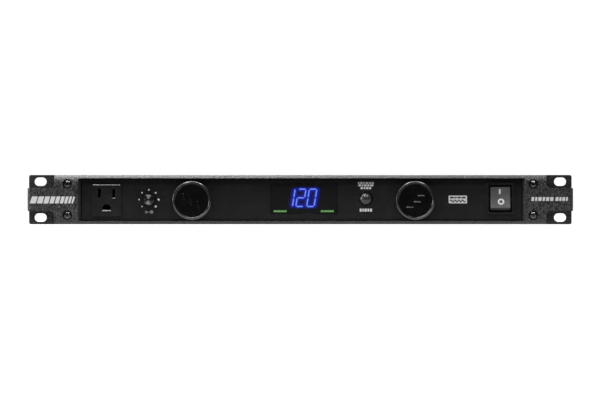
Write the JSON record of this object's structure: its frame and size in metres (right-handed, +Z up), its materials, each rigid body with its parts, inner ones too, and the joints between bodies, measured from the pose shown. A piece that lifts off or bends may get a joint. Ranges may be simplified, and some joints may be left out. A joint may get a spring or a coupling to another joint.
{
  "type": "rack power conditioner",
  "caption": "Rack-mount mains power conditioner with front outlet, pull-out swivelling lights, dimmer, blue voltage meter, push button and rocker breaker.",
  "frame": {"origin": "centre of the four rack slots, on the rear face of the ears where they meet the rack rails", "axes": "+X to the right seen from the front, along the faceplate; +Y to the rear, into the rack; +Z up; the controls face -Y"},
  "size_m": [0.4826, 0.2831, 0.0436],
  "materials": {
    "textured_black": "textured black powder coat",
    "black_screw": "black oxide screws",
    "panel_black": "smooth satin black panel with white print",
    "case_black": "fine textured black paint on steel",
    "outlet_black": "black moulded plastic",
    "brass_contact": "plain brass spring strip",
    "dimmer_black": "black fluted knob with a turned metal face",
    "bright_metal": "plated steel",
    "plated_metal": "nickel plate",
    "smoked_lens": "smoked acrylic window",
    "display_black": "black display face",
    "segment_blue": "glowing blue display bars",
    "board_green": "green circuit board",
    "legend_green": "glowing green light bars",
    "button_grey": "dark grey push button",
    "dark_plastic": "black plastic",
    "knob_black": "glossy black plastic",
    "tube_black": "satin black tube",
    "frosted_lens": "frosted clear lens",
    "led_white": "white circuit board with light emitting diodes",
    "carriage_white": "natural slippery plastic",
    "rocker_black": "dark grey moulded rocker",
    "gland_black": "black nylon",
    "winding_copper": "enamelled copper winding",
    "capacitor_yellow": "yellow film capacitor case",
    "varistor_blue": "blue epoxy coating",
    "laminated_steel": "varnished laminations and bobbin",
    "wire_black": "black insulated wire"
  },
  "bodies": {
    "case": {"faceplate": "textured_black", "faceplate_screws": "black_screw", "front_panel": "panel_black", "chassis_tray": "case_black", "rear_panel": "case_black", "top_cover": "case_black", "case_screws": "black_screw", "front_outlet": "outlet_black", "outlet_contacts": "brass_contact", "dimmer_pot": "plated_metal", "dimmer_nut": "plated_metal", "meter_window": "smoked_lens", "meter_display": "display_black", "display_segments": "segment_blue", "meter_board": "board_green", "status_lights": "legend_green", "button_collar": "knob_black", "button_switch": "dark_plastic", "breaker_housing": "dark_plastic", "breaker_terminals": "brass_contact", "left_guide_tube": "dark_plastic", "left_guide_collar": "knob_black", "right_guide_tube": "dark_plastic", "right_guide_collar": "knob_black", "rear_outlet_1": "outlet_black", "rear_outlet_2": "outlet_black", "rear_outlet_3": "outlet_black", "rear_outlet_4": "outlet_black", "rear_outlet_5": "outlet_black", "rear_outlet_6": "outlet_black", "rear_outlet_7": "outlet_black", "rear_outlet_8": "outlet_black", "cord_gland": "gland_black", "lamp_socket": "plated_metal", "lamp_socket_nut": "plated_metal", "lamp_switch_housing": "dark_plastic", "filter_board": "board_green", "filter_choke": "winding_copper", "filter_capacitors": "capacitor_yellow", "surge_varistors": "varistor_blue", "supply_transformer": "laminated_steel", "shutdown_relay": "dark_plastic", "board_standoffs": "bright_metal", "supply_wires": "wire_black", "ground_stud": "bright_metal"},
    "left_light_carriage": {"left_carriage": "carriage_white"},
    "left_light": {"left_light_knob": "knob_black", "left_light_tube": "tube_black", "left_light_lens": "frosted_lens", "left_led_board": "led_white"},
    "right_light_carriage": {"right_carriage": "carriage_white"},
    "right_light": {"right_light_knob": "knob_black", "right_light_tube": "tube_black", "right_light_lens": "frosted_lens", "right_led_board": "led_white"},
    "dimmer": {"dimmer_knob": "dimmer_black", "dimmer_shaft": "bright_metal"},
    "meter_button": {"meter_button": "button_grey"},
    "breaker_rocker": {"breaker_rocker": "rocker_black"},
    "lamp_switch_rocker": {"lamp_switch_rocker": "rocker_black"}
  },
  "joints": [
    {"name": "left_light_slide", "type": "slide", "parent": "case", "child": "left_light_carriage", "axis": [0, -1, 0], "range_m": [0, 0.114]},
    {"name": "left_light_swivel", "type": "hinge", "parent": "left_light_carriage", "child": "left_light", "pos_m": [-0.0958, 0, -0.0008], "axis": [0, -1, 0], "range_deg": [-120, 120]},
    {"name": "right_light_slide", "type": "slide", "parent": "case", "child": "right_light_carriage", "axis": [0, -1, 0], "range_m": [0, 0.114]},
    {"name": "right_light_swivel", "type": "hinge", "parent": "right_light_carriage", "child": "right_light", "pos_m": [0.1017, 0, -0.0008], "axis": [0, -1, 0], "range_deg": [-120, 120]},
    {"name": "dimmer_turn", "type": "hinge", "parent": "case", "child": "dimmer", "pos_m": [-0.1341, 0, 0], "axis": [0, -1, 0], "range_deg": [-135, 135]},
    {"name": "meter_button_press", "type": "slide", "parent": "case", "child": "meter_button", "axis": [0, 1, 0], "range_m": [0, 0.0012], "stiffness_N_per_m": 400, "springref_m": -0.001},
    {"name": "breaker_toggle", "type": "hinge", "parent": "case", "child": "breaker_rocker", "pos_m": [0.177, 0.0003, 0.0007], "axis": [1, 0, 0], "range_deg": [0, 24]},
    {"name": "lamp_switch_toggle", "type": "hinge", "parent": "case", "child": "lamp_switch_rocker", "pos_m": [0.152, 0.2539, -0.0003], "axis": [-1, 0, 0], "range_deg": [0, 24]}
  ]
}
